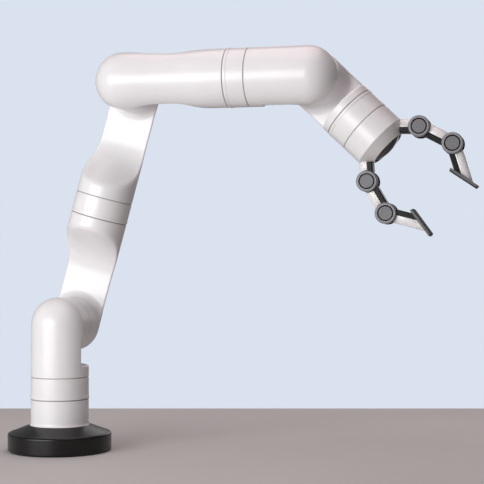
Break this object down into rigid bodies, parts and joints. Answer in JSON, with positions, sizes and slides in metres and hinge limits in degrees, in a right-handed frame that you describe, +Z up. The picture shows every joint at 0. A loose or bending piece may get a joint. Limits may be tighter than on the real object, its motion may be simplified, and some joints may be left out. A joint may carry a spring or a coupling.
{
  "type": "collaborative robot arm with gripper",
  "caption": "Collaborative robot arm: round white links offset side by side on a round black foot, bent at elbow and wrist, with hinged gripper fingers around a camera window.",
  "frame": {"origin": "centre of the foot's underside, on the axis of the first joint", "axes": "+Z up along the first joint, +X the way the arm reaches at rest, +Y the side on which the lower arm and wrist are offset"},
  "size_m": [0.8063, 0.1901, 0.6889],
  "materials": {
    "white_shell": "smooth white gloss enamel on cast aluminium",
    "white_cover": "smooth white gloss",
    "black_base": "black satin anodised",
    "seal_rubber": "matt grey",
    "motor_steel": "machined",
    "bare_aluminium": "machined",
    "screw_steel": "blackened",
    "black_plastic": "fine matt",
    "window_glass": "dark polished",
    "finger_black": "black satin anodised",
    "knuckle_grey": "grey satin anodised",
    "pad_grey": "grey satin anodised",
    "pad_rubber": "matt black"
  },
  "bodies": {
    "base": {"base_disc": "black_base", "base_gasket": "seal_rubber", "base_foot": "white_shell", "base_post": "bare_aluminium", "base_post_screws": "screw_steel", "connector_panel": "black_plastic", "j1_output_flange": "bare_aluminium"},
    "shoulder": {"j1_band": "white_shell", "j1_seals": "seal_rubber", "j1_actuator": "motor_steel", "shoulder_shell": "white_shell", "j2_seal": "seal_rubber", "j2_actuator": "motor_steel"},
    "lower_arm_lower": {"lower_arm_lower_shell": "white_shell", "j2_output_flange": "bare_aluminium", "j3_output_flange": "bare_aluminium"},
    "lower_arm_upper": {"j3_band": "white_shell", "j3_seals": "seal_rubber", "j3_actuator": "motor_steel", "lower_arm_upper_shell": "white_shell", "j4_seal": "seal_rubber", "j4_actuator": "motor_steel"},
    "forearm_rear": {"forearm_rear_shell": "white_shell", "j4_output_flange": "bare_aluminium", "j5_output_flange": "bare_aluminium"},
    "forearm_front": {"j5_band": "white_shell", "j5_seals": "seal_rubber", "j5_actuator": "motor_steel", "forearm_front_shell": "white_shell", "j6_seal": "seal_rubber", "j6_actuator": "motor_steel"},
    "wrist": {"wrist_shell": "white_shell", "j6_output_flange": "bare_aluminium", "j7_output_flange": "bare_aluminium"},
    "gripper": {"j7_band": "white_shell", "j7_seals": "seal_rubber", "j7_actuator": "motor_steel", "gripper_housing": "white_shell", "camera_bezel": "black_plastic", "camera_window": "window_glass", "camera_module": "black_plastic", "finger_stub_bars": "finger_black", "finger_stub_covers": "white_cover"},
    "upper_proximal": {"upper_proximal_bar": "finger_black", "upper_proximal_cover": "white_cover", "upper_knuckle_1_caps": "knuckle_grey"},
    "upper_distal": {"upper_distal_bar": "finger_black", "upper_distal_cover": "white_cover", "upper_knuckle_2_caps": "knuckle_grey", "upper_pad_plate": "pad_grey", "upper_pad_rubber": "pad_rubber"},
    "lower_proximal": {"lower_proximal_bar": "finger_black", "lower_proximal_cover": "white_cover", "lower_knuckle_1_caps": "knuckle_grey"},
    "lower_distal": {"lower_distal_bar": "finger_black", "lower_distal_cover": "white_cover", "lower_knuckle_2_caps": "knuckle_grey", "lower_pad_plate": "pad_grey", "lower_pad_rubber": "pad_rubber"}
  },
  "joints": [
    {"name": "j1", "type": "hinge", "parent": "base", "child": "shoulder", "pos_m": [0, 0, 0], "axis": [0, 0, 1], "range_deg": [-170, 170]},
    {"name": "j2", "type": "hinge", "parent": "shoulder", "child": "lower_arm_lower", "pos_m": [0, 0, 0.2171], "axis": [0, 1, 0], "range_deg": [-135, 104]},
    {"name": "j3", "type": "hinge", "parent": "lower_arm_lower", "child": "lower_arm_upper", "pos_m": [0, 0.05, 0.2171], "axis": [0.2703, 0, 0.9628], "range_deg": [-170, 170]},
    {"name": "j4", "type": "hinge", "parent": "lower_arm_upper", "child": "forearm_rear", "pos_m": [0.11843, 0, 0.63899], "axis": [0, 1, 0], "range_deg": [-209, 60]},
    {"name": "j5", "type": "hinge", "parent": "forearm_rear", "child": "forearm_front", "pos_m": [0.11843, 0, 0.63899], "axis": [1, 0, -0.0035], "range_deg": [-170, 170]},
    {"name": "j6", "type": "hinge", "parent": "forearm_front", "child": "wrist", "pos_m": [0.44223, 0, 0.63786], "axis": [0, 1, 0], "range_deg": [-158, 71]},
    {"name": "j7", "type": "hinge", "parent": "wrist", "child": "gripper", "pos_m": [0.44223, 0.05, 0.63786], "axis": [0.7193, 0, -0.6947], "range_deg": [-175, 175]},
    {"name": "upper_knuckle_1", "type": "hinge", "parent": "gripper", "child": "upper_proximal", "pos_m": [0.62095, 0.05, 0.5523], "axis": [0, 1, 0], "range_deg": [-30, 17.5]},
    {"name": "upper_knuckle_2", "type": "hinge", "parent": "upper_proximal", "child": "upper_distal", "pos_m": [0.67563, 0.05, 0.52298], "axis": [0, 1, 0], "range_deg": [-15, 8.75]},
    {"name": "lower_knuckle_1", "type": "hinge", "parent": "gripper", "child": "lower_proximal", "pos_m": [0.53398, 0.05, 0.46224], "axis": [0, 1, 0], "range_deg": [-17.5, 30]},
    {"name": "lower_knuckle_2", "type": "hinge", "parent": "lower_proximal", "child": "lower_distal", "pos_m": [0.56518, 0.05, 0.40861], "axis": [0, 1, 0], "range_deg": [-8.75, 15]}
  ],
  "couplings": [
    {"joint": "upper_knuckle_2", "follows": "upper_knuckle_1", "ratio": 0.5},
    {"joint": "lower_knuckle_1", "follows": "upper_knuckle_1", "ratio": -1},
    {"joint": "lower_knuckle_2", "follows": "upper_knuckle_1", "ratio": -0.5}
  ]
}
